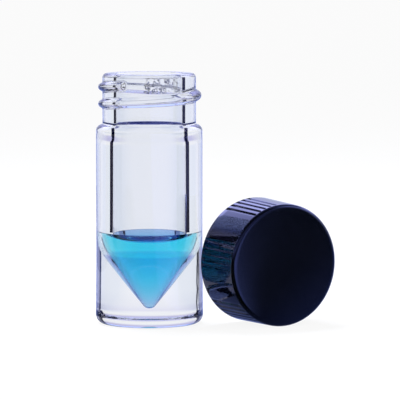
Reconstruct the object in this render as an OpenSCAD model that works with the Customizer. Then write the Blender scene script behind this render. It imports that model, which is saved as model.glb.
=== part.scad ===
// Glass sample vial with a conical bore and a black screw cap, in millimetres.
// The vial stands on z = 0 with its axis along +Z. The cap lies on its side
// against it, with its closed face towards the front right.

/* [Vial] */
// Outer diameter of the straight body
body_d = 20; // [19.4:0.1:20.6]
// Outer diameter just above the foot, where the solid base is a little thicker
foot_d = 20.24; // [20.1:0.02:21]
// Height from the foot to the lip
vial_h = 47.2; // [46:0.1:52]
// Radius of the rounded heel
heel_r = 1.8; // [1:0.1:3]
// Height at which the foot's slight flare has run out
flare_h = 11.5; // [8:0.5:20]
// Diameter of the bore in the body
bore_d = 13.64; // [12.8:0.02:14.2]
// Glass left under the tip of the cone
base_t = 3.1; // [2:0.1:4]
// Half angle of the cone, in degrees
cone_a = 29; // [25:0.5:40]
// Radius of the cone's round tip
tip_r = 0.8; // [0.5:0.1:1.5]
// Radius that blends the cone into the straight bore
blend_r = 12; // [2:0.5:13]

/* [Neck] */
// Outer diameter of the neck between the thread beads
neck_d = 17.56; // [17.3:0.02:17.72]
// Diameter of the mouth
mouth_d = 12.54; // [11.6:0.02:12.6]
// Height of the finish, from the shoulder to the lip
finish_h = 9.6; // [9.2:0.1:11]
// Radius of the hollow where the neck meets the shoulder
neck_fillet = 0.5; // [0.2:0.1:0.8]
// Outer rounding of the lip
lip_r = 0.8; // [0.4:0.1:1]
// Inner rounding of the lip
lip_in_r = 0.45; // [0.2:0.05:0.6]
// Height of the taper from the mouth to the bore
taper_h = 2.2; // [1:0.1:4]

/* [Thread] */
// Rise of the thread in one turn (8 turns to the inch)
pitch = 3.175; // [3.175]
// How far the glass bead stands out from the neck
bead_h = 1.02; // [0.8:0.02:1.1]
// Width of the glass bead where it meets the neck
bead_w = 2.16; // [1.6:0.02:2.2]
// Length of the glass bead, in turns
bead_turns = 1.21; // [1:0.01:1.5]
// Height of the bead's middle below the lip, on the right-hand side
bead_drop = 4.15; // [3.9:0.05:4.4]
// Size of the bead at its two thin ends, as a share of its full size
bead_thin = 0.78; // [0.6:0.01:1]

/* [Liquid] */
// Height of the liquid's flat middle above the foot
fill_z = 15.2; // [15:0.1:30]
// How far the liquid climbs the wall
climb = 2.05; // [0.8:0.05:2.2]
// Gap between the liquid's solid and the glass
liquid_gap = 0.03; // [0.01:0.01:0.1]

/* [Cap] */
// Outer diameter of the cap at its open rim
cap_d = 23.6; // [23.2:0.1:24.2]
// Outer diameter of the cap at its closed top, smaller so that it leaves its mould
cap_top_d = 23; // [22.6:0.1:23.6]
// Height of the cap
cap_h = 11; // [10.8:0.1:12]
// Thickness of the cap's closed top
top_t = 1.8; // [1.4:0.1:2]
// Rounding of the edge between the skirt and the top
edge_r = 0.7; // [0.3:0.05:1]
// Inner diameter at the root of the cap's thread
root_d = 20.1; // [19.9:0.05:20.4]
// How far the cap's thread stands in from the root
ridge_h = 1; // [0.7:0.05:1]
// Width of the cap's thread at its root
ridge_w = 1.3; // [1:0.05:1.4]
// Width of the cap's thread at its crest
ridge_crest = 0.6; // [0.4:0.05:0.7]
// Groups of grip grooves round the skirt
groups = 6; // [4:1:8]
// Grooves in one group
grooves = 5; // [3:1:6]
// Angle from one groove to the next, in degrees
groove_step = 6; // [5:0.5:7]
// Radius of a grip groove
groove_r = 0.3; // [0.2:0.02:0.36]
// Thickness of the sealing disc
liner_t = 1; // [0.6:0.1:1.2]

/* [Placing] */
// Turn of the cap's axis from the front, in degrees
cap_yaw = 30.5; // [20:0.5:40]
// Turn of the cap about its own axis, in degrees
cap_roll = 50.5; // [45:0.5:56]
// Where the cap touches the body, in degrees from +X
touch_a = -18; // [-20:0.5:20]
// Gap left where the cap touches the body
touch_gap = 0.05; // [0.05:0.01:0.3]

/* [Hidden] */
$fn = 96;
body_r = body_d / 2;
foot_r = foot_d / 2;
bore_r = bore_d / 2;
neck_r = neck_d / 2;
mouth_r = mouth_d / 2;
shoulder_z = vial_h - finish_h;
shoulder_r = body_r - neck_r;
cap_r = cap_d / 2;
cap_top_r = cap_top_d / 2;
cap_draft = atan((cap_r - cap_top_r) / cap_h);   // slope of the skirt, in degrees
root_r = root_d / 2;
liner_r = root_r - 0.1;      // the disc drops in past the thread's root
taper_top = shoulder_z - 0.3;
lead_in = 0.4;               // slope inside the cap's rim, which starts the thread
rim_chamfer = 0.2;           // chamfer outside the cap's rim
groove_stop = 0.35;          // the grip grooves end this far below the edge's rounding
groove_out = 0.02;           // a groove's centre line lies this far outside the skirt
groove_sides = 8;
wall_meet = 20;              // angle at which the liquid's surface meets the wall
bead_last = 325;             // where the glass bead ends, in degrees round from the front
ridge_first = -100;          // the cap's thread starts and ends here, in the same angles
ridge_last = 510;
ridge_under = 1.45;          // it lies this far under the glass bead when the cap is on
bead_run = 14;               // degrees over which the bead rises, and the cap's thread
ridge_run = 25;
seg = 10;                    // degrees from one section of a thread to the next
far = 60;                    // longer than any part

// middle of the cone's tip, and of the arc that blends the cone into the bore
tip_z = base_t + tip_r;
blend_z = tip_z + ((bore_r - blend_r) * cos(cone_a) + blend_r - tip_r) / sin(cone_a);

// ---- screw threads: one section swept along a rising circle ----

// a section's outline, as [out from the wall, along the axis], with its foot sunk in the wall
sunk = 0.35;
end_w = 0.4;                 // a thread's width and height at its very ends, as shares
end_h = 0.15;
function round_bead(h, w) = concat([[-sunk, -w / 2]],
    [for (a = [-70:20:70]) [h * cos(a), w / 2 * sin(a)]], [[-sunk, w / 2]]);
function flat_ridge(h, w, crest) = [[-sunk, -w / 2], [h, -crest / 2], [h, crest / 2], [-sunk, w / 2]];

// a section on the wall at radius r, angle a and height z. side is 1 for a thread outside the
// wall and -1 for one inside it, s is its size, and fade sinks it into the wall at its ends
function placed(section, r, side, a, z, s, fade) = [for (p = section)
    let (out = p[0] * s * fade - sunk * (1 - fade), width = s * (end_w + (1 - end_w) * fade))
    [(r + side * out) * cos(a), (r + side * out) * sin(a), z + p[1] * width]];

// near 0 at both ends of a thread and 1 along it: it comes up over run degrees
function end_fade(t, whole, run) = max(end_h, sqrt(min(1, min(t, whole - t) / run)));

module swept(rings) {
    m = len(rings);
    n = len(rings[0]);
    polyhedron(
        points = [for (r = rings) each r],
        faces = concat(
            [[for (k = [n - 1:-1:0]) k]],
            [for (i = [0:m - 2], k = [0:n - 1])
                [i * n + k, (i + 1) * n + (k + 1) % n, (i + 1) * n + k]],
            [for (i = [0:m - 2], k = [0:n - 1])
                [i * n + k, i * n + (k + 1) % n, (i + 1) * n + (k + 1) % n]],
            [[for (k = [0:n - 1]) (m - 1) * n + k]]));
}

// ---- glass ----

// the solid profile of the glass, before the bore
module glass_outline() {
    difference() {
        union() {
            // body, with the foot's slight flare
            polygon([[0, 0], [foot_r - heel_r, 0], [foot_r - heel_r, heel_r], [foot_r, heel_r],
                [body_r, flare_h], [body_r, shoulder_z - shoulder_r],
                [neck_r, shoulder_z - shoulder_r], [0, shoulder_z - shoulder_r]]);
            translate([foot_r - heel_r, heel_r]) circle(heel_r);
            translate([neck_r, shoulder_z - shoulder_r]) circle(shoulder_r);
            // neck up to the lip's rounding
            square([neck_r, vial_h - lip_r]);
            square([neck_r - lip_r, vial_h]);
            translate([neck_r - lip_r, vial_h - lip_r]) circle(lip_r);
            neck_hollow();
        }
        translate([-far, -far / 2]) square([far, 2 * far]);
    }
}

// the small hollow curve between the neck and the shoulder's arc
module neck_hollow() {
    base_z = shoulder_z - shoulder_r;
    rise = sqrt(pow(shoulder_r + neck_fillet, 2) - pow(neck_fillet, 2));
    reach = shoulder_r / (shoulder_r + neck_fillet);
    bite = 0.01;             // the curve cuts in a little, so that it crosses both sides cleanly
    within = 0.9 * reach;    // the outline's corner stays inside the shoulder's arc
    difference() {
        polygon([[neck_r - 1, base_z], [neck_r + neck_fillet * within, base_z + rise * within],
            [neck_r + neck_fillet, base_z + rise - bite], [neck_r - 1, base_z + rise - bite]]);
        translate([neck_r + neck_fillet - bite, base_z + rise - bite]) circle(neck_fillet);
    }
}

// the space inside, drawn gap smaller than the glass leaves it
module bore_outline(gap, top) {
    intersection() {
        union() {
            translate([0, tip_z]) circle(tip_r - gap);
            translate([bore_r - blend_r, blend_z]) circle(blend_r - gap);
            polygon([
                [0, tip_z],
                [(tip_r - gap) * cos(cone_a), tip_z - (tip_r - gap) * sin(cone_a)],
                [bore_r - blend_r + (blend_r - gap) * cos(cone_a), blend_z - (blend_r - gap) * sin(cone_a)],
                [bore_r - blend_r, blend_z],
                [bore_r - gap, blend_z],
                [bore_r - gap, top],
                [0, top]]);
        }
        square([far, top]);
    }
}

module mouth_outline() {
    polygon([[0, taper_top - taper_h - 1], [bore_r, taper_top - taper_h - 1],
        [bore_r, taper_top - taper_h], [mouth_r, taper_top], [mouth_r, vial_h - lip_in_r],
        [mouth_r + lip_in_r, vial_h - lip_in_r], [mouth_r + lip_in_r, vial_h + 1], [0, vial_h + 1]]);
}

module glass_profile() {
    difference() {
        glass_outline();
        bore_outline(0, taper_top - taper_h);
        mouth_outline();
    }
    // inner rounding of the lip
    translate([mouth_r + lip_in_r, vial_h - lip_in_r]) circle(lip_in_r);
}

module glass_bead() {
    whole = bead_turns * 360;
    first = bead_last - whole;
    rings = [for (i = [0:round(whole / seg)])
        let (t = whole * i / round(whole / seg),
             round_from_front = first + t,
             z = vial_h - bead_drop + pitch * (round_from_front - 90) / 360,
             away = min(1, abs(round_from_front - 90) / 180),
             size = 1 - (1 - bead_thin) * away)
        placed(round_bead(bead_h, bead_w), neck_r, 1, round_from_front - 90, z, size,
            end_fade(t, whole, bead_run))];
    swept(rings);
}

module vial() {
    color([0.89, 0.9, 0.95, 0.4]) union() {
        rotate_extrude() glass_profile();
        glass_bead();
    }
}

// ---- liquid ----

module liquid_sample() {
    wall = bore_r - liquid_gap;
    curve = climb / (1 - sin(wall_meet));
    curve_x = wall - curve * cos(wall_meet);
    color([0.22, 0.7, 0.92]) rotate_extrude() difference() {
        bore_outline(liquid_gap, fill_z + climb);
        translate([curve_x, fill_z + curve]) circle(curve);
        translate([-1, fill_z]) square([curve_x + 1, far]);
    }
}

// ---- cap, built with its mouth at z = 0 and its closed top upwards ----

module cap_profile() {
    // where the skirt's slope runs into the rounding of the edge
    edge_x = cap_top_r - edge_r * (1 / cos(cap_draft) - tan(cap_draft));
    edge_z = cap_h - edge_r;
    difference() {
        union() {
            polygon([[0, 0], [cap_r, 0], [edge_x + edge_r * cos(cap_draft), edge_z + edge_r * sin(cap_draft)],
                [edge_x, edge_z], [edge_x, cap_h], [0, cap_h]]);
            translate([edge_x, edge_z]) circle(edge_r);
        }
        translate([-1, -1]) square([root_r + 1, cap_h - top_t + 1]);
        // lead-in at the mouth and a small chamfer on the rim
        polygon([[root_r - 1, -1], [root_r + lead_in, -1], [root_r + lead_in, 0], [root_r, lead_in],
            [root_r - 1, lead_in]]);
        polygon([[cap_r - rim_chamfer, 0], [cap_r + 1, rim_chamfer + 1], [cap_r + 1, -1],
            [cap_r - rim_chamfer, -1]]);
    }
}

module grip_grooves() {
    length = cap_h - edge_r - groove_stop;
    for (g = [0:groups - 1], k = [0:grooves - 1])
        rotate([0, 0, g * 360 / groups + (k - (grooves - 1) / 2) * groove_step])
            translate([cap_r + groove_out, 0, 0]) rotate([0, -cap_draft, 0]) translate([0, 0, -1])
                rotate([0, 0, 180 / groove_sides])
                    cylinder(r = groove_r, h = length + 1, $fn = groove_sides);
}

module cap_ridge() {
    // the ridge lies under the glass bead when the disc is seated on the lip
    seat_z = vial_h - (cap_h - top_t - liner_t);
    whole = ridge_last - ridge_first;
    count = round(whole / seg);
    rings = [for (i = [0:count])
        let (t = whole * i / count,
             a = ridge_first + t,
             z = vial_h - bead_drop - ridge_under - seat_z + pitch * (a - 90) / 360)
        placed(flat_ridge(ridge_h, ridge_w, ridge_crest), root_r, -1, a - 90, z, 1,
            end_fade(t, whole, ridge_run))];
    swept([for (r = rings) [for (k = [len(r) - 1:-1:0]) r[k]]]);
}

// the cap lies on the line of its skirt that is lowest, so its axis leans by the skirt's slope
module lay_down() {
    touch_x = (body_r + touch_gap) * cos(touch_a);
    touch_y = (body_r + touch_gap) * sin(touch_a);
    translate([touch_x + cap_r * cos(cap_yaw), touch_y + cap_r * sin(cap_yaw), cap_r * cos(cap_draft)])
        rotate([90 + cap_draft, 0, cap_yaw]) rotate([0, 0, cap_roll]) children();
}

module cap() {
    color([0.05, 0.06, 0.1]) lay_down() union() {
        difference() {
            rotate_extrude() cap_profile();
            grip_grooves();
        }
        cap_ridge();
    }
}

module cap_liner() {
    color([0.93, 0.92, 0.88]) lay_down()
        translate([0, 0, cap_h - top_t - liner_t]) cylinder(r = liner_r, h = liner_t);
}

vial();
liquid_sample();
cap();
cap_liner();
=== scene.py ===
# %% [markdown]
# # A glass sample vial, its liquid and its black screw cap
#
# This lesson dresses a small laboratory vial that is already built as exact solids. The solids arrive as
# a fixed frame: they say how big each piece is and where it stands. The lesson makes the pieces again as
# fine, smooth meshes, because glass is unforgiving. Every flat facet bends light like a little prism, so
# a shape that looks round as a solid looks cut when it is seen through.
#
# Every length is in metres, as Blender has it. Sizes are written in millimetres and turned with MM.

# %% Load the fixed frame
from math import asin, atan2, cos, cosh, degrees, hypot, pi, radians, sin, sqrt

import bmesh
import bpy
from mathutils import Matrix, Vector, noise


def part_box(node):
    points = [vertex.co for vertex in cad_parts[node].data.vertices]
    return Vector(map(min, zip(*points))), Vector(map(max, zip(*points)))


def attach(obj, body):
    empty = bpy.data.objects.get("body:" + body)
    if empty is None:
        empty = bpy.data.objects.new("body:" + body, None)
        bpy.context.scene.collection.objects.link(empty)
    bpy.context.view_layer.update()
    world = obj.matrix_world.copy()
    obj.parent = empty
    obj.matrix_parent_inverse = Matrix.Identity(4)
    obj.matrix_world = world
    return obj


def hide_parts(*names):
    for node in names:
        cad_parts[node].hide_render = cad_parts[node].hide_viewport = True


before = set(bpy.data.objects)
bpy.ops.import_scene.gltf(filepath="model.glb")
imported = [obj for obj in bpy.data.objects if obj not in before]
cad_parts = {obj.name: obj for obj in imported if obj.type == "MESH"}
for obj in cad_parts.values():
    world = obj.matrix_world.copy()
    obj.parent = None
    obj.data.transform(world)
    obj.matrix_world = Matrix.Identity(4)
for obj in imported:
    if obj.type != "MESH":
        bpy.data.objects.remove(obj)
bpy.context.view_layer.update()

MM = 0.001
BODY = "root"
print("frame nodes:", sorted(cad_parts))

# %% [markdown]
# ## The camera
#
# The camera stands well back with a long lens, as a product camera does, so the vial's sides stay
# nearly parallel. It is a little above the bench, so the lip and the liquid show as thin ellipses. It is
# placed from the vial itself: a point in the middle of the glass, a distance, and a tilt. It then aims
# a little to the right of the vial, so that vial and cap fill the picture together.

# %% Place the camera
CAMERA_DISTANCE = 600 * MM
CAMERA_TILT = radians(4.87)
FOCAL_LENGTH = 286.5               # millimetres, on a 36 mm sensor
AIM_RIGHT = 9.55 * MM
AIM_DOWN = 0.24 * MM

middle = Vector((0, 0, 23.5 * MM))
eye = middle - CAMERA_DISTANCE * Vector((0, cos(CAMERA_TILT), -sin(CAMERA_TILT)))
aim = middle + Vector((AIM_RIGHT, 0, -AIM_DOWN))
camera_data = bpy.data.cameras.new("camera")
camera_data.lens = FOCAL_LENGTH
camera_data.sensor_width = 36
camera_data.clip_start = 0.05
camera_data.clip_end = 10
camera = bpy.data.objects.new("camera", camera_data)
camera.location = eye
camera.rotation_euler = (aim - eye).to_track_quat("-Z", "Y").to_euler()
bpy.context.scene.collection.objects.link(camera)
bpy.context.scene.camera = camera
print("camera at", [round(v, 4) for v in eye])

# %% [markdown]
# ## Shader maths as plain expressions
#
# A material is a graph of nodes, and sums on masks make long chains of Math nodes. The small class below
# wraps a socket and overloads the operators, so `1 - mask * 0.3` builds the chain by itself. Every other
# node comes from one method that takes the node's type, its settings and what its sockets get.

# %% A socket that can be added, multiplied and compared
class Value:
    def __init__(self, recipe, socket):
        self.recipe = recipe
        self.socket = socket

    def maths(self, operation, *others):
        values = {i + 1: other for i, other in enumerate(others)}
        return self.recipe.node("ShaderNodeMath", {"operation": operation}, {0: self, **values})

    def __add__(self, other):
        return self.maths("ADD", other)

    __radd__ = __add__

    def __mul__(self, other):
        return self.maths("MULTIPLY", other)

    __rmul__ = __mul__

    def __sub__(self, other):
        return self.maths("SUBTRACT", other)

    def __rsub__(self, other):
        return self.recipe.node("ShaderNodeMath", {"operation": "SUBTRACT"}, {0: other, 1: self})

    def __gt__(self, other):
        return self.maths("GREATER_THAN", other)

    def clamped(self):
        return self.recipe.node("ShaderNodeClamp", {}, {"Value": self})


# %% A recipe: one material, world or lamp, and its nodes
class Recipe:
    def __init__(self, owner, surface):
        self.owner = owner
        owner.use_nodes = True
        self.tree = owner.node_tree
        self.tree.nodes.clear()
        self.out = self.tree.nodes.new(surface)

    def node(self, kind, settings=None, sockets=None, output=0):
        made = self.tree.nodes.new(kind)
        for name, value in (settings or {}).items():
            if name == "stops":
                self.fill_ramp(made.color_ramp, value)
            else:
                setattr(made, name, value)
        for name, value in (sockets or {}).items():
            self.put(made.inputs[name], value)
        return Value(self, made.outputs[output])

    def fill_ramp(self, ramp, stops):
        while len(ramp.elements) < len(stops):
            ramp.elements.new(0.5)
        for element, (place, colour) in zip(ramp.elements, stops):
            element.position = place
            element.color = colour

    def put(self, socket, value):
        if isinstance(value, Value):
            self.tree.links.new(value.socket, socket)
        else:
            socket.default_value = value

    def noise(self, place, scale, detail, roughness):
        """A smooth 3-D noise, about 0.5 on average."""
        return self.node("ShaderNodeTexNoise", {"noise_dimensions": "3D"}, {
            "Vector": place, "Scale": scale, "Detail": detail, "Roughness": roughness}, 0)

    def ramp(self, value, stops):
        """A colour that changes with a value, through (place, colour) stops."""
        return self.node("ShaderNodeValToRGB", {"stops": stops}, {0: value}, "Color")

    def blend(self, factor, first, second, kind="MIX"):
        """One colour turning into another."""
        settings = {"data_type": "RGBA", "blend_type": kind}
        return self.node("ShaderNodeMix", settings, {"Factor": factor, 6: first, 7: second}, 2)

    def mix(self, factor, first, second):
        """One shader turning into another."""
        return self.node("ShaderNodeMixShader", {}, {0: factor, 1: first, 2: second})

    def glow(self, colour):
        """A surface that shows just this colour, whatever light falls on it."""
        return self.node("ShaderNodeEmission", {}, {"Color": colour, "Strength": 1.0})

    def background(self, colour):
        """The same for a world."""
        return self.node("ShaderNodeBackground", {}, {"Color": colour, "Strength": 1.0})

    def finish(self, shader, name="Surface"):
        self.put(self.out.inputs[name], shader)
        return self.owner


def new_material(name):
    return Recipe(bpy.data.materials.new(name), "ShaderNodeOutputMaterial")


def rgb(red, green, blue):
    """A colour as a screen shows it, 0 to 255, turned into the linear light that shaders use."""
    def linear(v):
        v = v / 255
        return v / 12.92 if v <= 0.04045 else ((v + 0.055) / 1.055) ** 2.4
    return (linear(red), linear(green), linear(blue), 1)


# %% [markdown]
# ## Turned shapes
#
# Vial, liquid, cap and disc are all turned shapes: one outline swept round an axis. An outline is a list
# of (radius, height) points in millimetres. Straight stretches need only their ends, and round stretches
# come from an arc. Where a thread or a groove breaks the roundness, a second function moves the points of
# some rows in or out, angle by angle.

# %% Outlines from lines and arcs
def arc(centre, radius, start, end, steps):
    """Points on an arc, from one angle to another in degrees, ends included."""
    turns = [radians(start + (end - start) * i / steps) for i in range(steps + 1)]
    return [(centre[0] + radius * cos(t), centre[1] + radius * sin(t)) for t in turns]


def line(start, end, steps):
    """Points along a straight line, ends included."""
    shares = [i / steps for i in range(steps + 1)]
    return [(start[0] + (end[0] - start[0]) * s, start[1] + (end[1] - start[1]) * s) for s in shares]


def joined(*stretches):
    """Stretches end to end, without the doubled points where they meet."""
    points = []
    for stretch in stretches:
        for p in stretch:
            if not points or hypot(p[0] - points[-1][0], p[1] - points[-1][1]) > 1e-4:
                points.append(p)
    return points


# %% Sweep an outline round the Z axis
def turned(name, outline, columns, radius_at=None):
    """A closed mesh from an outline in millimetres. Points on the axis become one vertex."""
    mesh = bmesh.new()
    rows = []
    for r, z in outline:
        if r < 1e-6:
            rows.append([mesh.verts.new((0, 0, z * MM))])
            continue
        row = []
        for j in range(columns):
            t = 2 * pi * j / columns
            reach = r if radius_at is None else radius_at(r, z, t)
            row.append(mesh.verts.new((reach * cos(t) * MM, reach * sin(t) * MM, z * MM)))
        rows.append(row)
    for low, high in zip(rows, rows[1:]):
        for j in range(columns):
            k = (j + 1) % columns
            corners = []
            for v in (low[j % len(low)], low[k % len(low)], high[k % len(high)], high[j % len(high)]):
                if v not in corners:
                    corners.append(v)
            if len(corners) > 2:
                mesh.faces.new(corners)
    bmesh.ops.recalc_face_normals(mesh, faces=mesh.faces)
    data = bpy.data.meshes.new(name)
    mesh.to_mesh(data)
    mesh.free()
    data.polygons.foreach_set("use_smooth", [True] * len(data.polygons))
    made = bpy.data.objects.new(name, data)
    bpy.context.scene.collection.objects.link(made)
    print(f"{name}: {len(data.vertices)} vertices, {len(data.polygons)} faces")
    return made


# %% [markdown]
# ## The glass
#
# The vial is pressed and blown from one piece of clear glass. Outside it is a plain cylinder with a round
# heel, a round shoulder and a neck. Inside, the bore runs down into a cone with a small round tip, so
# that the last drop can be drawn out. The base under the cone is solid, and works as a thick lens.
#
# One closed outline goes up the outside and down the inside, so wall and bore are one skin. Two separate
# skins, joined with a boolean, would leave uneven triangles just where the lip bends the light most.

# %% The vial's measures
foot_box, top_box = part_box("vial")
VIAL_H = top_box.z / MM
BODY_R = 10.0
FOOT_R = 10.12
HEEL_R = 1.8
FLARE_H = 11.5                     # the foot is a little wider than the body, up to this height
NECK_R = 8.78
FINISH_H = 9.6
SHOULDER_R = BODY_R - NECK_R
SHOULDER_Z = VIAL_H - FINISH_H
NECK_FILLET = 0.4
LIP_R = 0.8
LIP_IN_R = 0.45
BORE_R = 6.82
MOUTH_R = 6.27
TAPER_TOP = SHOULDER_Z - 0.3
TAPER_H = 2.8                      # over this height the mouth widens into the bore
CONE = 29                          # degrees between the cone's side and the axis
TIP_R = 0.8
BLEND_R = 12.0                     # the soft bend from bore to cone
TIP_Z = 3.1 + TIP_R
BLEND_Z = TIP_Z + ((BORE_R - BLEND_R) * cos(radians(CONE)) + BLEND_R - TIP_R) / sin(radians(CONE))
print("glass from", round(foot_box.z / MM, 3), "to", round(VIAL_H, 3), "mm")
print("the cone opens into the bore at", round(BLEND_Z, 2), "mm")

# %% [markdown]
# ### The screw bead on the neck
#
# The thread on moulded glass is one fat, soft bead: it rises about 3.2 mm a turn and has blunt ends. It
# could be a separate tube, but two glass shapes that overlap show a seam inside. So the bead is a swelling
# of the neck's own wall: how far the wall moves out is a function of the angle and the height.

# %% How far the bead swells the neck
PITCH = 3.175
BEAD_H = 1.02
BEAD_HALF = 1.08
BEAD_THIN = 0.78
BEAD_DROP = 4.15
BEAD_LAST = 325
BEAD_TURNS = 1.21
BEAD_FULL = 2.6                    # how square the bead's section is: 2 is an ellipse
BEAD_FOOT = 0.16                   # softness of the hollow along its foot
END_REACH = 25                     # degrees past its end where the bead has surely run out


def soft_max(a, b, soft):
    return (a + b + sqrt((a - b) ** 2 + soft ** 2)) / 2


def bead_swell(z, turn):
    """How far the wall stands out at height z and angle turn, counted from +X."""
    first = BEAD_LAST - BEAD_TURNS * 360
    best = -1.0
    for lap in (-2, -1, 0, 1):
        around = degrees(turn) + 90 + 360 * lap
        past = max(first - around, around - BEAD_LAST, 0)
        if past > END_REACH:
            continue
        away = min(1, abs(around - 90) / 180)
        size = 1 - (1 - BEAD_THIN) * away
        middle_z = VIAL_H - BEAD_DROP + PITCH * (around - 90) / 360
        across = abs(z - middle_z) / (BEAD_HALF * size)
        along = radians(past) * NECK_R / (BEAD_HALF * size)
        best = max(best, BEAD_H * size * (1 - across ** BEAD_FULL - along ** BEAD_FULL))
    return soft_max(best, 0, BEAD_FOOT) - soft_max(-1, 0, BEAD_FOOT)


# %% [markdown]
# ### Flow marks beside the mouth
#
# Where the hot glass first touched the cold mould it froze in small ripples and pits. They sit in one
# patch beside the mouth. The ripples move the wall itself, with a smooth noise that fades out towards the
# edge of the patch. The pits are too small for that, so they come later, with the glass material.

# %% Ripples of the neck's wall
MARK_TURN = 62                     # degrees from +X
MARK_Z = 44.3
MARK_HALF_TURN = 36
MARK_HALF_Z = 2.1
RIPPLE = 0.12
FINE_RIPPLE = 0.07
ROUND_STRETCH = 1.5                # ripples are a little narrower round the neck than a ball of noise
HEIGHT_STRETCH = 2.4               # and flatter


def flow_mark(z, turn):
    """How far the wall is rippled out or in at height z and angle turn."""
    aside = (degrees(turn) - MARK_TURN) / MARK_HALF_TURN
    above = (z - MARK_Z) / MARK_HALF_Z
    fade = max(0, 1 - aside ** 2) * max(0, 1 - above ** 2)
    place = Vector((turn * NECK_R * ROUND_STRETCH, z * HEIGHT_STRETCH, 3.0))
    return fade * (RIPPLE * noise.noise(place * 1.5) + FINE_RIPPLE * noise.noise(place * 3))


# %% [markdown]
# ### The outline, and the turned glass
#
# The outline starts in the middle of the foot and ends at the tip of the cone. The foot is lifted a hair
# off the table. Without that gap the light that leaves through the foot would meet two surfaces in one
# place, and the renderer would have to guess which comes first.

# %% Turn the glass
fillet_z = SHOULDER_Z - SHOULDER_R + sqrt((SHOULDER_R + NECK_FILLET) ** 2 - NECK_FILLET ** 2)
meet = degrees(asin(sqrt(1 - (NECK_FILLET / (SHOULDER_R + NECK_FILLET)) ** 2)))
lean = degrees(atan2(FLARE_H - HEEL_R, BODY_R - FOOT_R)) - 90
outside = joined(
    line((0, 0), (FOOT_R - HEEL_R, 0), 12),
    arc((FOOT_R - HEEL_R, HEEL_R), HEEL_R, -90, 0, 24),
    line((FOOT_R, HEEL_R), (BODY_R, FLARE_H), 12),
    line((BODY_R, FLARE_H), (BODY_R, SHOULDER_Z - SHOULDER_R), 20),
    arc((NECK_R, SHOULDER_Z - SHOULDER_R), SHOULDER_R, 0, meet, 20),
    arc((NECK_R + NECK_FILLET, fillet_z), NECK_FILLET, 180 + meet, 180, 8),
)
neck = line((NECK_R, fillet_z), (NECK_R, VIAL_H - LIP_R), 96)
mouth = joined(
    arc((NECK_R - LIP_R, VIAL_H - LIP_R), LIP_R, 0, 90, 16),
    arc((MOUTH_R + LIP_IN_R, VIAL_H - LIP_IN_R), LIP_IN_R, 90, 180, 10),
    line((MOUTH_R, VIAL_H - LIP_IN_R), (MOUTH_R, TAPER_TOP), 16),
    line((MOUTH_R, TAPER_TOP), (BORE_R, TAPER_TOP - TAPER_H), 10),
)
inside = joined(
    line((BORE_R, TAPER_TOP - TAPER_H), (BORE_R, BLEND_Z), 20),
    arc((BORE_R - BLEND_R, BLEND_Z), BLEND_R, 0, -CONE, 40),
    arc((0, TIP_Z), TIP_R, -CONE, -90, 16),
)
AIR = 0.02                         # the gap under the foot
glass_outline = [(r, max(z, AIR)) for r, z in joined(outside, neck, mouth, inside)]


def glass_radius(r, z, turn):
    on_neck = abs(r - NECK_R) < 1e-6 and z > fillet_z
    return r + bead_swell(z, turn) + flow_mark(z, turn) if on_neck else r


vial = turned("vial_glass", glass_outline, 384, glass_radius)
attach(vial, BODY)
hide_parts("vial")

# %% [markdown]
# ## The liquid
#
# The liquid fills the cone and a little of the bore, and climbs the wall all round, because it wets the
# glass. The curve of that climb is steep at the wall and dies out towards the middle. Its side is made a
# hair larger than the bore, so it bites into the glass. A ray that goes from glass to liquid then meets
# no air gap, which would shine like a mirror.

# %% Turn the liquid
BITE = 0.02
FILL_Z = 15.2                      # the surface in the middle
CLIMB = 2.05                       # how much higher it stands at the wall
CURL = 1.9                         # how far from the wall the climb reaches
contact_z = FILL_Z + CLIMB
contact_turn = -degrees(asin(max(0, (BLEND_Z - contact_z) / BLEND_R)))
contact_r = BORE_R - BLEND_R + BLEND_R * cos(radians(contact_turn))


def surface_z(r):
    return FILL_Z + CLIMB * cosh(r / CURL) / cosh(contact_r / CURL)


wet_wall = joined(
    arc((0, TIP_Z), TIP_R + BITE, -90, -CONE, 16),
    arc((BORE_R - BLEND_R, BLEND_Z), BLEND_R + BITE, -CONE, contact_turn, 40),
)
open_surface = [(r, surface_z(r)) for r in [contact_r * (1 - (i / 80) ** 1.6) for i in range(81)]]
liquid = turned("liquid", joined(wet_wall, open_surface), 384)
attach(liquid, BODY)
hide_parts("liquid_sample")

# %% [markdown]
# ## The cap
#
# The cap is moulded from hard black plastic. Its skirt has six groups of five grooves for grip, with
# plain panels between them. The skirt narrows a little to the closed end, so the cap comes off its mould,
# and it makes the cap lean when it lies on its side. Inside runs a thread ridge that follows the bead.
#
# The cap is turned like the rest. The grooves are pressed into the rows of the skirt, and the ridge is
# pushed out of the rows of the well. Cutting them with booleans would give the same shape, but it would
# break the long smooth rows that carry the reflections.

# %% The cap's measures
CAP_RIM_R = 11.8
CAP_TOP_R = 11.5
CAP_H = 11.0
TOP_T = 1.8
EDGE_R = 0.7
ROOT_R = 10.05
GROUPS = 6
GROOVES = 5
GROOVE_STEP = 6
GROOVE_R = 0.3
GROOVE_END = CAP_H - EDGE_R - 0.35
GROOVE_SOFT = 0.03                 # rounding of the ribs between the grooves
RIDGE_H = 1.0
RIDGE_HALF = 0.62
RIDGE_FIRST = -100
RIDGE_LAST = 510
RIDGE_END = 1.5                    # the ridge runs out over this length, along the root
RIDGE_STEEP = 1.6                  # steep flanks, cut flat at RIDGE_H
RIDGE_SOFT = 0.1
RIDGE_UNDER = 1.45                 # how far below the bead the ridge runs
LINER_T = 1.0
CAP_TILT = atan2(CAP_RIM_R - CAP_TOP_R, CAP_H)


def skirt_r(z):
    return CAP_RIM_R - (CAP_RIM_R - CAP_TOP_R) * z / CAP_H


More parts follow.
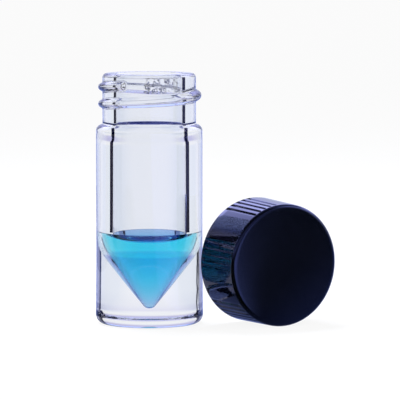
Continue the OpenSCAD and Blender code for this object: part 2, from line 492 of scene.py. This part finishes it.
def groove_depth(z, turn):
    """How deep the nearest grip groove is cut at this angle."""
    sector = 360 / GROUPS
    angle = (degrees(turn) + sector / 2) % sector - sector / 2
    place = min(max(round(angle / GROOVE_STEP), -(GROOVES // 2)), GROOVES // 2)
    aside = abs(radians(angle - place * GROOVE_STEP)) * skirt_r(z)
    past_end = max(0, z - GROOVE_END)
    near = GROOVE_R ** 2 - aside ** 2 - past_end ** 2
    bottom = sqrt(near) if near > 0 else -sqrt(-near)
    return soft_max(bottom, 0, GROOVE_SOFT) - soft_max(-GROOVE_R, 0, GROOVE_SOFT)


def ridge_rise(z, turn):
    """How far the cap's inner thread stands in from the root, at height z above the mouth."""
    best = -1.0
    seat_z = VIAL_H - (CAP_H - TOP_T - LINER_T)
    for lap in (-1, 0, 1):
        around = degrees(turn) + 90 + 360 * lap
        past = max(RIDGE_FIRST - around, around - RIDGE_LAST, 0)
        if past > 15:
            continue
        middle_z = VIAL_H - BEAD_DROP - RIDGE_UNDER - seat_z + PITCH * (around - 90) / 360
        across = abs(z - middle_z) / RIDGE_HALF
        along = radians(past) * ROOT_R / RIDGE_END
        best = max(best, RIDGE_H * RIDGE_STEEP * (1 - across - along))
    return min(soft_max(best, 0, RIDGE_SOFT), RIDGE_H)


# %% [markdown]
# ### The cap's outline
#
# The rim of the mouth and the edge of the closed face are rounded, because a moulded part has no sharp
# edges. The closed face has sunk in a little while the thick middle cooled, as such faces do.

# %% Turn the cap
DISH = 0.06                        # how far the middle of the closed face has sunk in
RIM_R = 0.3                        # round of the rim's outer edge
BEVEL = 0.4                        # bevel inside the mouth
edge_x = CAP_TOP_R - EDGE_R * (1 / cos(CAP_TILT) - sin(CAP_TILT) / cos(CAP_TILT))
edge_z = CAP_H - EDGE_R


def dished_z(r):
    return CAP_H - DISH * (1 - (r / edge_x) ** 2)


skirt_heights = [z for z, _ in line((RIM_R, 0), (GROOVE_END - 0.5, 0), 8)]
skirt_heights += [z for z, _ in line((GROOVE_END - 0.4, 0), (edge_z, 0), 12)]
cap_outside = joined(
    arc((skirt_r(RIM_R) - RIM_R, RIM_R), RIM_R, -90, 0, 6),
    [(skirt_r(z), z) for z in skirt_heights],
    arc((edge_x, edge_z), EDGE_R, 2, 90, 12),
    [(r, dished_z(r)) for r, _ in line((edge_x, 0), (0, 0), 24)],
)
well = line((ROOT_R, CAP_H - TOP_T), (ROOT_R, BEVEL), 90)
cap_inside = joined(
    line((0, CAP_H - TOP_T), (ROOT_R, CAP_H - TOP_T), 6),
    well,
    line((ROOT_R, BEVEL), (ROOT_R + BEVEL, 0), 4),
)


def cap_radius(r, z, turn):
    if abs(r - skirt_r(z)) < 1e-6:
        return r - groove_depth(z, turn)
    if abs(r - ROOT_R) < 1e-6 and z > BEVEL:
        return r - ridge_rise(z, turn)
    return r


cap = turned("cap_shell", joined(cap_inside, cap_outside), 900, cap_radius)

# %% [markdown]
# ### Laying the cap down
#
# The cap lies on its side and leans on the vial's wall. It was made upright, mouth down, and one matrix
# takes it there: it rolls on its own axis, tips over, swings round, and moves to where it touches.

# %% Where the cap lies
CAP_YAW = 30.5                     # which way the mouth looks
CAP_ROLL = 50.5                    # which grooves are on top
TOUCH_A = -18                      # where on the vial's wall the cap's rim touches
TOUCH_GAP = 0.05

reach = BODY_R + TOUCH_GAP
touch = Vector((reach * cos(radians(TOUCH_A)), reach * sin(radians(TOUCH_A)), 0))
aside = Vector((cos(radians(CAP_YAW)), sin(radians(CAP_YAW)), 0)) * CAP_RIM_R
mouth_centre = (touch + aside + Vector((0, 0, CAP_RIM_R * cos(CAP_TILT)))) * MM
swing = Matrix.Rotation(radians(CAP_YAW), 4, "Z") @ Matrix.Rotation(radians(90) + CAP_TILT, 4, "X")
lying = Matrix.Translation(mouth_centre) @ swing @ Matrix.Rotation(radians(CAP_ROLL), 4, "Z")
cap_face = lying @ Vector((0, 0, CAP_H * MM))
cap_axis = (cap_face - mouth_centre).normalized()
print("the cap's mouth stands at", [round(v / MM, 2) for v in mouth_centre], "mm")
cap.data.transform(lying)
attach(cap, BODY)
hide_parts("cap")

# %% [markdown]
# ## The sealing disc
#
# A pale disc lies at the bottom of the cap and seals on the glass lip. It is punched from sheet, so its
# edge is straight with a small round from the punch. It is a hair narrower than the cap's well.

# %% Turn the disc
LINER_R = ROOT_R - 0.1
PUNCH_R = 0.12                     # round of the disc's edges
disc_low = CAP_H - TOP_T - LINER_T
liner = turned("sealing_disc", joined(
    line((0, disc_low), (LINER_R - PUNCH_R, disc_low), 12),
    arc((LINER_R - PUNCH_R, disc_low + PUNCH_R), PUNCH_R, -90, 0, 4),
    arc((LINER_R - PUNCH_R, disc_low + LINER_T - PUNCH_R), PUNCH_R, 0, 90, 4),
    line((LINER_R - PUNCH_R, disc_low + LINER_T), (0, disc_low + LINER_T), 6),
), 192)
liner.data.transform(lying)
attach(liner, BODY)
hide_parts("cap_liner")

# %% [markdown]
# ## The glass as a material
#
# Clear glass has almost no colour of its own. This one takes a trace of red away, so that four walls one
# behind the other look faintly cool. The tint wavers a little, as it does in glass that was not stirred
# quite evenly. The roughness is nought: what shapes the look is the bending of light, and the geometry
# does that.
#
# The pits of the flow marks are a bump in one patch. Three masks choose the patch: how far round the neck,
# how high, and only on the outer wall. A coarse noise then keeps it in clusters. The pits themselves are
# what a fine noise leaves above a level, so they are flat-topped specks and not waves.
#
# Their bump is far deeper than a real pit, and than the wall could hold. A true depth doesn't show at this
# distance, so the number is a look. Nearer by, it makes the patch look frosted.

# %% The patch of flow marks
glass = new_material("clear_glass")
glass_place = glass.node("ShaderNodeNewGeometry", {}, {}, "Position")
glass_z = glass.node("ShaderNodeSeparateXYZ", {}, {0: glass_place}, "Z") * (1 / MM)
glass_flat = glass.node("ShaderNodeVectorMath", {"operation": "MULTIPLY"}, {
    0: glass_place, 1: (1, 1, 0)}, "Vector")
glass_r = glass.node("ShaderNodeVectorMath", {"operation": "LENGTH"}, {0: glass_flat}, "Value") * (1 / MM)
PATCH_EDGE = 7.2                   # the patch begins this far out towards its middle
PATCH_HALF_Z = 1.625
OUTER_WALL = 8.2                   # a radius between the bore and the neck's outer wall
mark_way = (cos(radians(MARK_TURN)), sin(radians(MARK_TURN)), 0)
toward = glass.node("ShaderNodeVectorMath", {"operation": "DOT_PRODUCT"}, {
    0: glass_place, 1: mark_way}, "Value") * (1 / MM)
beside_mouth = (toward * 1.2 - PATCH_EDGE * 1.2).clamped()
near_height = (PATCH_HALF_Z * 0.8 - (glass_z - MARK_Z).maths("ABSOLUTE") * 0.8).clamped()
on_outer_wall = glass_r > OUTER_WALL
patches = glass.noise(glass_place, 700, 1, 0.5)
mark_zone = beside_mouth * near_height * on_outer_wall * ((patches - 0.38) * 4).clamped()

# %% Pits, tint and shader
PIT_DEPTH = 2.0 * MM               # not a real depth: see above
PIT_LEVEL = 0.48
pits = ((glass.noise(glass_place, 2400, 1, 0.5) - PIT_LEVEL) * 4).clamped()
pitted = glass.node("ShaderNodeBump", {}, {
    "Height": mark_zone * pits, "Strength": 1.0, "Distance": PIT_DEPTH}, "Normal")
streaks = glass.noise(glass_place, 160, 2, 0.5)
glass_tint = glass.blend(streaks, (0.89, 0.908, 0.95, 1), (0.9, 0.912, 0.95, 1))
glass_shader = glass.node("ShaderNodeBsdfPrincipled", {}, {
    "Base Color": glass_tint,
    "Roughness": 0.0,
    "IOR": 1.5,
    "Transmission Weight": 1.0,
    "Specular Tint": (0.4, 0.36, 0.55, 1),
    "Normal": pitted,
})
vial.data.materials.append(glass.finish(glass_shader))
print("clear glass:", len(glass.tree.nodes), "nodes")

# %% [markdown]
# ## The liquid as a material
#
# The liquid is water with a blue dye. Light loses its red on the way through, so the body is a plain
# absorbing volume with one colour and one strength. Near the wall the real one shows more than that: a
# bright cyan band where the surface climbs, and deeper blue under it. That change with height is painted
# on the skin, as a ramp over the height: the deeper blue low down is painted shade, for the blue shadow
# of the liquid on the table that shows through the cone.
#
# Seen from above, the open surface is painted darker and more purple than the side, as painted shade. The
# open surface could be found with the normal, but light that comes from inside sees the normal flipped. So
# it is found by place: it is every point that lies clearly inside the wall.

# %% The liquid's skin
fluid = new_material("blue_liquid")
wet_place = fluid.node("ShaderNodeNewGeometry", {}, {}, "Position")
wet_z = fluid.node("ShaderNodeSeparateXYZ", {}, {0: wet_place}, "Z") * (1 / MM)
SHADE_RAMP_TOP = 20                      # the height, in millimetres, at the end of the ramp
# Painted shade: deeper blue on the skin below the climb, almost clear above it.
wall_painted_shade = fluid.ramp(wet_z * (1 / SHADE_RAMP_TOP), [
    (0.20, (0.75, 0.93, 1, 1)),
    (0.28, (0.62, 0.9, 1, 1)),
    (0.46, (0.42, 0.76, 0.97, 1)),
    (0.64, (0.52, 0.63, 0.88, 1)),
    (0.66, (0.86, 0.98, 1, 1)),
])
wet_flat = fluid.node("ShaderNodeVectorMath", {"operation": "MULTIPLY"}, {
    0: wet_place, 1: (1, 1, 0)}, "Vector")
from_axis = fluid.node("ShaderNodeVectorMath", {"operation": "LENGTH"}, {0: wet_flat}, "Value") * (1 / MM)
below_blend = BLEND_Z - wet_z
wall_r = BORE_R - below_blend * below_blend * (0.5 / BLEND_R)
CLEAR_OF_WALL = 0.004
open_skin = ((wall_r - from_axis) > CLEAR_OF_WALL) * (wet_z > FILL_Z - 0.1)

# %% The liquid's shader
# Painted shade on the open surface, darker and more purple than the side.
OPEN_PAINTED_SHADE = (0.2, 0.36, 0.75, 1)
DYE = (0.0, 0.9, 0.98, 1)
DYE_STRENGTH = 260.0
fluid_shader = fluid.node("ShaderNodeBsdfPrincipled", {}, {
    "Base Color": fluid.blend(open_skin, wall_painted_shade, OPEN_PAINTED_SHADE),
    "Roughness": 0.0,
    "IOR": 1.333,
    "Transmission Weight": 1.0,
})
stain = fluid.node("ShaderNodeVolumeAbsorption", {}, {"Color": DYE, "Density": DYE_STRENGTH})
fluid.finish(stain, "Volume")
liquid.data.materials.append(fluid.finish(fluid_shader))
print("blue liquid:", len(fluid.tree.nodes), "nodes")

# %% [markdown]
# ## The black plastic
#
# The plastic is coloured right through with carbon black. The skirt comes from a polished mould, so it
# mirrors its surroundings with only a trace of blur. The closed face comes from a finely blasted one, and
# is softer. One roughness for both would make either the grooves woolly or the face a mirror.
#
# The mirror colour is pulled towards blue, which gives black plastic its cold sheen. A fine grain bends
# the normal a little, and a broad noise shifts tint and roughness where the cap was handled.

# %% The plastic's finish
plastic = new_material("black_plastic")
cap_place = plastic.node("ShaderNodeTexCoord", {}, {}, "Object")
grain = plastic.noise(cap_place, 2600, 3, 0.6)
handled = plastic.noise(cap_place, 260, 4, 0.55)
along_axis = plastic.node("ShaderNodeVectorMath", {"operation": "DOT_PRODUCT"}, {
    0: cap_place, 1: tuple(cap_axis)}, "Value")
on_face = along_axis > cap_axis.dot(cap_face) - 0.1 * MM
fine_bump = plastic.node("ShaderNodeBump", {}, {
    "Height": grain, "Strength": 0.005, "Distance": 0.05 * MM}, "Normal")
POLISHED = 0.045                   # roughness of the skirt
BLASTED = 0.095                    # what the closed face has on top of it
plastic_shader = plastic.node("ShaderNodeBsdfPrincipled", {}, {
    "Base Color": plastic.blend(handled, (0.0009, 0.0011, 0.0016, 1), (0.0019, 0.0023, 0.0034, 1)),
    "Roughness": handled * 0.03 + POLISHED + on_face * BLASTED,
    "IOR": 1.6,
    "Specular Tint": (0.5, 0.58, 1.0, 1),
    "Normal": fine_bump,
})
cap.data.materials.append(plastic.finish(plastic_shader))
print("black plastic:", len(plastic.tree.nodes), "nodes")

# %% [markdown]
# ## The facing of the disc
#
# The disc is a soft pale sheet with a smooth facing. Its colour is clouded a little by the filler, and the
# press leaves a fine fibrous grain that only shows where light grazes it.

# %% The facing's finish
facing = new_material("liner_facing")
disc_place = facing.node("ShaderNodeTexCoord", {}, {}, "Object")
fibres = facing.noise(disc_place, 1400, 4, 0.65)
clouds = facing.noise(disc_place, 220, 3, 0.5)
pressed = facing.node("ShaderNodeBump", {}, {
    "Height": fibres, "Strength": 0.25, "Distance": 0.06 * MM}, "Normal")
facing_shader = facing.node("ShaderNodeBsdfPrincipled", {}, {
    "Base Color": facing.blend(clouds * 0.7 + fibres * 0.3, rgb(222, 219, 208), rgb(244, 243, 238)),
    "Roughness": clouds * 0.2 + 0.4,
    "Normal": pressed,
})
liner.data.materials.append(facing.finish(facing_shader))
print("liner facing:", len(facing.tree.nodes), "nodes")

# %% [markdown]
# ## The floor
#
# The floor is plain, pale and large, and keeps the soft shadow of the pieces. Glass and black plastic have
# little to show of their own: they show what stands around them. A studio builds that with white sheets
# and black cards. Here the floor itself plays both parts, since a material can ask how a ray came to it:
#
# - a ray straight from the eye sees a white floor, with a little of the matt floor and its shadow;
# - a ray that came through the glass sees white far away, and a painted shadow in deep blue right under
#   the foot;
# - a ray that came off the plastic sees painted reflections: a dark floor in front and a blue one behind.

# %% A large plane
FLOOR = 3.0
floor_mesh = bpy.data.meshes.new("floor")
corners = [(-FLOOR, -FLOOR, 0), (FLOOR, -FLOOR, 0), (FLOOR, FLOOR, 0), (-FLOOR, FLOOR, 0)]
floor_mesh.from_pydata(corners, [], [(0, 1, 2, 3)])
floor = bpy.data.objects.new("floor", floor_mesh)
bpy.context.scene.collection.objects.link(floor)

# %% What the floor is to each kind of ray
ground = new_material("pale_floor")
camera_ray = ground.node("ShaderNodeLightPath", {}, {}, "Is Camera Ray")
glossy_ray = ground.node("ShaderNodeLightPath", {}, {}, "Is Glossy Ray")
through_ray = ground.node("ShaderNodeLightPath", {}, {}, "Is Transmission Ray")
mirror_ray = (glossy_ray - through_ray).clamped()      # refracted rays count as glossy too
floor_place = ground.node("ShaderNodeNewGeometry", {}, {}, "Position")
floor_x = ground.node("ShaderNodeSeparateXYZ", {}, {0: floor_place}, "X")
floor_y = ground.node("ShaderNodeSeparateXYZ", {}, {0: floor_place}, "Y")
away = ground.node("ShaderNodeVectorMath", {"operation": "LENGTH"}, {0: floor_place}, "Value")

# %% [markdown]
# ### The floor seen through the glass
#
# The solid base gathers the view of the table right under the foot. There the floor is painted deep blue
# for
# rays through the glass: a painted shadow, for the blue shadow of the liquid, with paler painted shade
# round it. Further out the floor is white. To the sides it is painted a little darker, as painted shade,
# which
# rounds the glass: its walls bend the view outwards, so they show the sides.

# %% Colours through the glass
NEAR_REACH = 100 * MM              # the distance at the end of the ramp
# Painted shadow: deep blue right under the foot, paler lilac round it, white further out.
painted_shadow_ramp = ground.ramp(away * (1 / NEAR_REACH), [
    (0.0, (0.01, 0.03, 0.22, 1)),
    (0.095, (0.02, 0.04, 0.28, 1)),
    (0.14, (0.72, 0.7, 0.9, 1)),
    (0.3, (0.92, 0.92, 0.97, 1)),
    (0.5, (0.98, 0.98, 1, 1)),
])
off_side = floor_x.maths("ABSOLUTE").maths("DIVIDE", away)
# Painted shade: darker towards the sides.
painted_side_shade = ground.ramp(off_side, [(0.12, (1, 1, 1, 1)), (0.35, (0.89, 0.92, 0.96, 1))])
painted_shadow_tint = ground.blend(1.0, painted_shadow_ramp, painted_side_shade, "MULTIPLY")
under = ground.glow(painted_shadow_tint)

# %% [markdown]
# ### The floor mirrored in the plastic
#
# The closed face of the cap looks down and to the front, so it mirrors the floor before it. For such rays
# the floor is painted nearly black there, with a painted band of light to the left that gives the face its
# blue edge. The skirt mirrors the floor behind it, which is painted blue: all of it painted reflection.

# %% Colours in the plastic, and the floor's shader
TURN_FADE = 0.03                   # metres over which the front turns into the back
BAND_SIDE = (0.483, 0.873)         # the direction across the band of light
BAND_EDGE = 3.2                    # millimetres along it where the band ends
BAND_FADE = 6
BAND_START = 28 * MM
START_FADE = 12 * MM
behind = ((floor_y + floor_x * 0.3) * (1 / TURN_FADE) + 0.3).clamped()
across = (floor_x * BAND_SIDE[0] + floor_y * BAND_SIDE[1]) * (1 / MM)
band_left = ((BAND_EDGE - across) * (1 / BAND_FADE)).clamped()
band_start = ((floor_x - BAND_START) * (1 / START_FADE)).clamped()
# Painted reflections: dark floor in front, blue floor behind, a bright painted band of light to the left.
painted_dark_front = ground.glow((0.01, 0.013, 0.01, 1))
painted_blue_back = ground.glow((0.3, 0.4, 1.0, 1))
painted_light_band = ground.glow((0.8, 0.95, 1.9, 1))
matt = ground.node("ShaderNodeBsdfDiffuse", {}, {"Color": (0.8, 0.8, 0.8, 1)})
white = ground.glow((1, 1, 1, 1))
mirrored = ground.mix(behind, painted_dark_front, painted_blue_back)
mirrored = ground.mix(band_left * band_start, mirrored, painted_light_band)
seen = ground.mix(camera_ray * 0.9, matt, white)
seen = ground.mix(through_ray, seen, under)
floor.data.materials.append(ground.finish(ground.mix(mirror_ray, seen, mirrored)))
print("floor:", len(ground.tree.nodes), "nodes")

# %% [markdown]
# ## Dark cards for the edges of the glass
#
# Clear glass on white would vanish. A photographer stands black cards beside it, just out of the frame:
# the steep parts of the wall bend the view so far aside that they show the cards, as thin dark lines. The
# cards here do the same, as painted shade: dark glowing sheets that are only seen through glass, never by
# the eye, in the plastic or as shadow.
#
# Which angle a part of the wall looks at follows from the bending. The line where the bore begins looks
# 50 to 66 degrees aside, to its own side. The thick base works as a lens and looks the other way, so its
# lines come from cards on the opposite side. They stand close behind the vial, low, so that only the base
# sees them, and their edges waver: a painted reflection of the ribbed cap, as wavy dark lines in the base.

# %% A card that lies on the floor or stands on it
RIGHT = 1
LEFT = -1


def ribbon(name, side, start, rows, colour):
    """A card in strips. Each row has a distance, a height and two angles from +Y, seen from start."""
    corners = []
    for distance, height, first, last in rows:
        for turn in (radians(first), radians(last)):
            across = side * (start[0] + distance * sin(turn))
            corners.append((across * MM, (start[1] + distance * cos(turn)) * MM, height * MM))
    quads = [(2 * k, 2 * k + 1, 2 * k + 3, 2 * k + 2) for k in range(len(rows) - 1)]
    mesh = bpy.data.meshes.new(name)
    mesh.from_pydata(corners, [], quads)
    card = bpy.data.objects.new(name, mesh)
    bpy.context.scene.collection.objects.link(card)
    recipe = new_material(name)
    mesh.materials.append(recipe.finish(recipe.glow(colour)))
    card.visible_camera = False
    card.visible_diffuse = False
    card.visible_glossy = False
    card.visible_shadow = False


# %% Cards for the lines of the bore
# Painted shade: the dark glow of the cards, seen only through the glass.
DARK_SHADE = (0.001, 0.001, 0.012, 1)
LOW = 0.3                          # just above the floor
WALL_START = (8, 6)                # where the light leaves the back of the wall
ribbon("wall_right", RIGHT, WALL_START, [
    (140, LOW, 50, 65.5), (900, LOW, 50, 65.5), (901, 520, 50, 65.5)], DARK_SHADE)
ribbon("wall_left", LEFT, WALL_START, [
    (140, LOW, 53, 66.5), (900, LOW, 53, 66.5), (901, 330, 53, 66.5), (902, 520, 59, 66.5)], DARK_SHADE)

# %% Softer cards beside them: painted shade for the outermost edge and the beads
# Painted shade, seen only through the glass.
DIM_SHADE = (0.66, 0.66, 0.84, 1)
NEAR_SHADE = (0.2, 0.22, 0.42, 1)
for word, side in (("right", RIGHT), ("left", LEFT)):
    ribbon(f"dim_{word}", side, (0, 0), [(200, LOW, 67, 82), (1000, LOW, 67, 82)], DIM_SHADE)
    ribbon(f"near_{word}", side, (0, 0), [(16, LOW, 67, 82), (200, LOW, 67, 82)], NEAR_SHADE)

# %% Small cards close behind the base
# Painted shade for the base's edges; the wavy dark cards below paint the cap's lines into the base.
EDGE_SHADE = (0.3, 0.3, 0.42, 1)
BASE_START = (-1.5, 9.9)
CLOSE = 12
BASE_TOP = 12.6
for word, side in (("right", RIGHT), ("left", LEFT)):
    ribbon(f"edge_{word}", side, BASE_START, [(CLOSE, LOW, 61.5, 80), (CLOSE, BASE_TOP, 61.5, 80)], EDGE_SHADE)
ribbon("base_right", RIGHT, BASE_START, [(CLOSE, LOW, 55, 61.5), (CLOSE, BASE_TOP, 55, 61.5)], DARK_SHADE)
wavy_in = [
    (LOW, 50, 53), (1.3, 48.5, 52.5), (2.5, 49.5, 54), (3.8, 51, 56), (5.4, 50, 54.5),
    (7.3, 51, 56), (8.3, 51, 56), (9, 52, 60.5), (BASE_TOP, 52, 60.5)]
wavy_out = [(LOW, 57, 60.5), (5.5, 57, 60.5), (7.3, 56.5, 61), (8.9, 57, 61)]
ribbon("base_left_in", LEFT, BASE_START, [(CLOSE, *row) for row in wavy_in], DARK_SHADE)
ribbon("base_left_out", LEFT, BASE_START, [(CLOSE, *row) for row in wavy_out], DARK_SHADE)
print("cards and pieces:", len(bpy.data.meshes))

# %% [markdown]
# ## The studio around it
#
# The room is a soft white tent. As with the floor, what a ray sees depends on how it came. The eye sees
# plain white. The pieces are lit by an even white a little under full strength, so colours come out about
# as they are written. Glass sees white at the horizon and painted lilac above it, which tints the lip, the
# beads and the shoulder, as they bend the view upwards. The plastic sees painted reflections: a bright
# blue-white tent behind it and a dark room in front, where the camera stands.

# %% Directions and kinds of ray
world = bpy.data.worlds.new("studio")
bpy.context.scene.world = world
sky = Recipe(world, "ShaderNodeOutputWorld")
sky_camera = sky.node("ShaderNodeLightPath", {}, {}, "Is Camera Ray")
sky_glossy = sky.node("ShaderNodeLightPath", {}, {}, "Is Glossy Ray")
sky_through = sky.node("ShaderNodeLightPath", {}, {}, "Is Transmission Ray")
way = sky.node("ShaderNodeTexCoord", {}, {}, "Generated")
up = sky.node("ShaderNodeSeparateXYZ", {}, {0: way}, "Z")
back = sky.node("ShaderNodeSeparateXYZ", {}, {0: way}, "Y")
right = sky.node("ShaderNodeSeparateXYZ", {}, {0: way}, "X")

# %% The tent as the glass sees it
LILAC = (0.62, 0.6, 0.85, 1)
# Painted colour seen only through the glass: white at the horizon, lilac and blue bands above.
see_ramp = sky.ramp(up, [
    (0.0, (0.98, 0.98, 0.98, 1)),
    (0.15, (0.97, 0.97, 0.98, 1)),
    (0.3, LILAC),
    (0.42, LILAC),
    (0.5, (0.72, 0.86, 1.5, 1)),
    (0.6, (0.72, 0.86, 1.5, 1)),
    (0.75, (0.58, 0.55, 0.8, 1)),
])
left_ramp = sky.ramp(up, [
    (0.1, (0.97, 0.97, 0.98, 1)),
    (0.3, LILAC),
    (0.44, LILAC),
    (0.5, (0.24, 0.32, 0.72, 1)),
    (0.56, (0.24, 0.32, 0.72, 1)),
    (0.62, (0.7, 0.9, 1.9, 1)),
    (1.0, (0.5, 0.55, 0.9, 1)),
])
far_left = ((-0.5 - right) * 8).clamped() * (back * 8).clamped()
painted_glass_tent = sky.background(sky.blend(far_left, see_ramp, left_ramp))

# %% The tent as the plastic mirrors it
# Painted reflections: bright blue-white behind the cap, dark in front.
gloss_ramp = sky.ramp(up, [
    (0.0, (0.72, 0.77, 1.05, 1)),
    (0.15, (0.7, 0.75, 1.1, 1)),
    (0.35, (1.15, 1.2, 2.1, 1)),
    (0.5, (2.4, 2.5, 4.5, 1)),
    (0.57, (2.4, 2.5, 4.5, 1)),
    (0.62, (0.5, 0.55, 1.2, 1)),
    (1.0, (0.2, 0.24, 0.5, 1)),
])
front_ramp = sky.ramp(up, [
    (0.1, (0.01, 0.012, 0.02, 1)),
    (0.3, (0.4, 0.46, 0.9, 1)),
    (0.5, (0.2, 0.23, 0.5, 1)),
    (0.75, (0.02, 0.02, 0.05, 1)),
])
behind_cap = ((back + right * 0.5) * 6 + 0.4).clamped()
painted_mirror_tent = sky.background(sky.blend(behind_cap, front_ramp, gloss_ramp))

# %% Put the tent together
EVEN_LIGHT = 0.75
even = sky.background((EVEN_LIGHT, EVEN_LIGHT, EVEN_LIGHT, 1))
plain_white = sky.background((0.99, 0.99, 0.99, 1))
tent = sky.mix(sky_camera, even, plain_white)
tent = sky.mix(sky_through, tent, painted_glass_tent)
sky.finish(sky.mix((sky_glossy - sky_through).clamped(), tent, painted_mirror_tent))
print("tent:", len(sky.tree.nodes), "nodes")

# %% [markdown]
# ## One soft lamp
#
# One large soft box hangs above and behind. It gives the pieces a weak, soft shadow on the floor. Glass
# and plastic do not see it, as its image would be a hard white patch on every edge.

# %% Hang the soft box
BOX_PLACE = Vector((-60, 120, 330)) * MM
BOX_AIM = Vector((20, 0, 18)) * MM
box_data = bpy.data.lights.new("top_box", "AREA")
box_data.shape = "RECTANGLE"
box_data.size = 260 * MM
box_data.size_y = 120 * MM
box_data.energy = 3.0
box_data.color = (0.8, 0.82, 1.0)
soft_box = bpy.data.objects.new("top_box", box_data)
soft_box.visible_transmission = False
soft_box.visible_glossy = False
soft_box.location = BOX_PLACE
soft_box.rotation_euler = (BOX_AIM - BOX_PLACE).to_track_quat("-Z", "Y").to_euler()
bpy.context.scene.collection.objects.link(soft_box)
bpy.context.scene.view_settings.view_transform = "Standard"
print("studio:", len(bpy.data.materials), "materials,", len(bpy.data.lights), "lamp")
